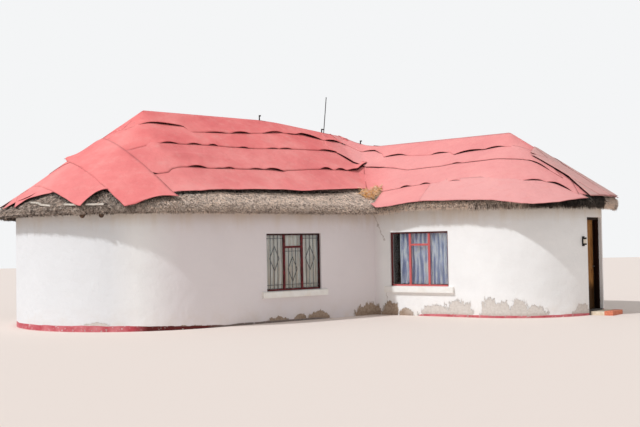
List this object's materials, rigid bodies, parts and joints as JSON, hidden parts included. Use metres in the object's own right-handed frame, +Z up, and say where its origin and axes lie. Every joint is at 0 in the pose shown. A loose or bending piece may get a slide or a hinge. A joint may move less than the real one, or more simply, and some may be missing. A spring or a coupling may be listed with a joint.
{
  "type": "double rondavel house",
  "caption": "Two round-ended plastered wings meeting at a blunt angle under a thatched roof covered with overlapping flat painted sheets, with steel windows and a hinged door.",
  "frame": {"origin": "at ground level, where the centre lines of the two wings cross", "axes": "+X to the right wing's side seen from the front, +Y from the front yard to the back, +Z up"},
  "size_m": [14.129, 9.8468, 5.5635],
  "materials": {
    "plaster_wall": "white limewashed plaster with a red painted band at the ground",
    "concrete_floor": "floated cement screed",
    "window_steel": "maroon gloss paint on steel section",
    "window_glass": "clear sheet glass",
    "sill_concrete": "painted cast concrete",
    "beige_curtain": "woven beige curtain cloth",
    "lace_curtain": "pale lilac lace net",
    "door_timber": "varnished hardwood",
    "frame_timber": "varnished hardwood",
    "hinge_steel": "dull steel",
    "step_screed": "worn cement render",
    "clay_brick": "common orange clay brick",
    "lamp_body": "black painted lamp with an opal side",
    "plate_timber": "sawn softwood",
    "pole_timber": "debarked gum poles",
    "thatch_grass": "weathered grey thatching grass",
    "roof_sheeting": "faded pink-red paint on stiff flat sheeting",
    "mast_steel": "weathered grey steel"
  },
  "bodies": {
    "house": {"floor_slab": "concrete_floor", "left_end_wall_front": "plaster_wall", "left_end_wall_side": "plaster_wall", "left_end_wall_rear": "plaster_wall", "left_front_wall": "plaster_wall", "right_front_wall": "plaster_wall", "right_end_wall_front": "plaster_wall", "right_end_wall_rear": "plaster_wall", "doorway_lintel_wall": "plaster_wall", "right_back_wall": "plaster_wall", "back_round_wall_right": "plaster_wall", "back_round_wall_left": "plaster_wall", "left_back_wall": "plaster_wall", "left_window_frame": "window_steel", "right_window_frame": "window_steel", "back_window_frames": "window_steel", "front_window_glass": "window_glass", "back_window_glass": "window_glass", "window_sills": "sill_concrete", "left_curtains": "beige_curtain", "right_curtains": "lace_curtain", "back_curtains": "beige_curtain", "door_frame": "frame_timber", "door_hinges": "hinge_steel", "doorstep": "step_screed", "step_bricks": "clay_brick", "wall_lamp": "lamp_body", "left_wall_plate": "plate_timber", "right_wall_plate": "plate_timber", "left_rafters": "pole_timber", "right_rafters": "pole_timber", "left_end_thatch": "thatch_grass", "left_front_thatch": "thatch_grass", "left_back_thatch": "thatch_grass", "back_round_thatch": "thatch_grass", "right_front_thatch": "thatch_grass", "right_end_thatch": "thatch_grass", "right_back_thatch": "thatch_grass", "left_end_sheets": "roof_sheeting", "left_front_sheets": "roof_sheeting", "left_back_sheets": "roof_sheeting", "back_round_sheets": "roof_sheeting", "right_front_sheets": "roof_sheeting", "right_end_sheets": "roof_sheeting", "right_back_sheets": "roof_sheeting", "roof_mast": "mast_steel"},
    "door": {"door_leaf": "door_timber", "leaf_hinges": "hinge_steel", "door_handle": "hinge_steel"}
  },
  "joints": [
    {"name": "door_hinge", "type": "hinge", "parent": "house", "child": "door", "pos_m": [5.09189, -4.41525, 0.095], "axis": [0, 0, 1], "range_deg": [-4, 85]}
  ]
}
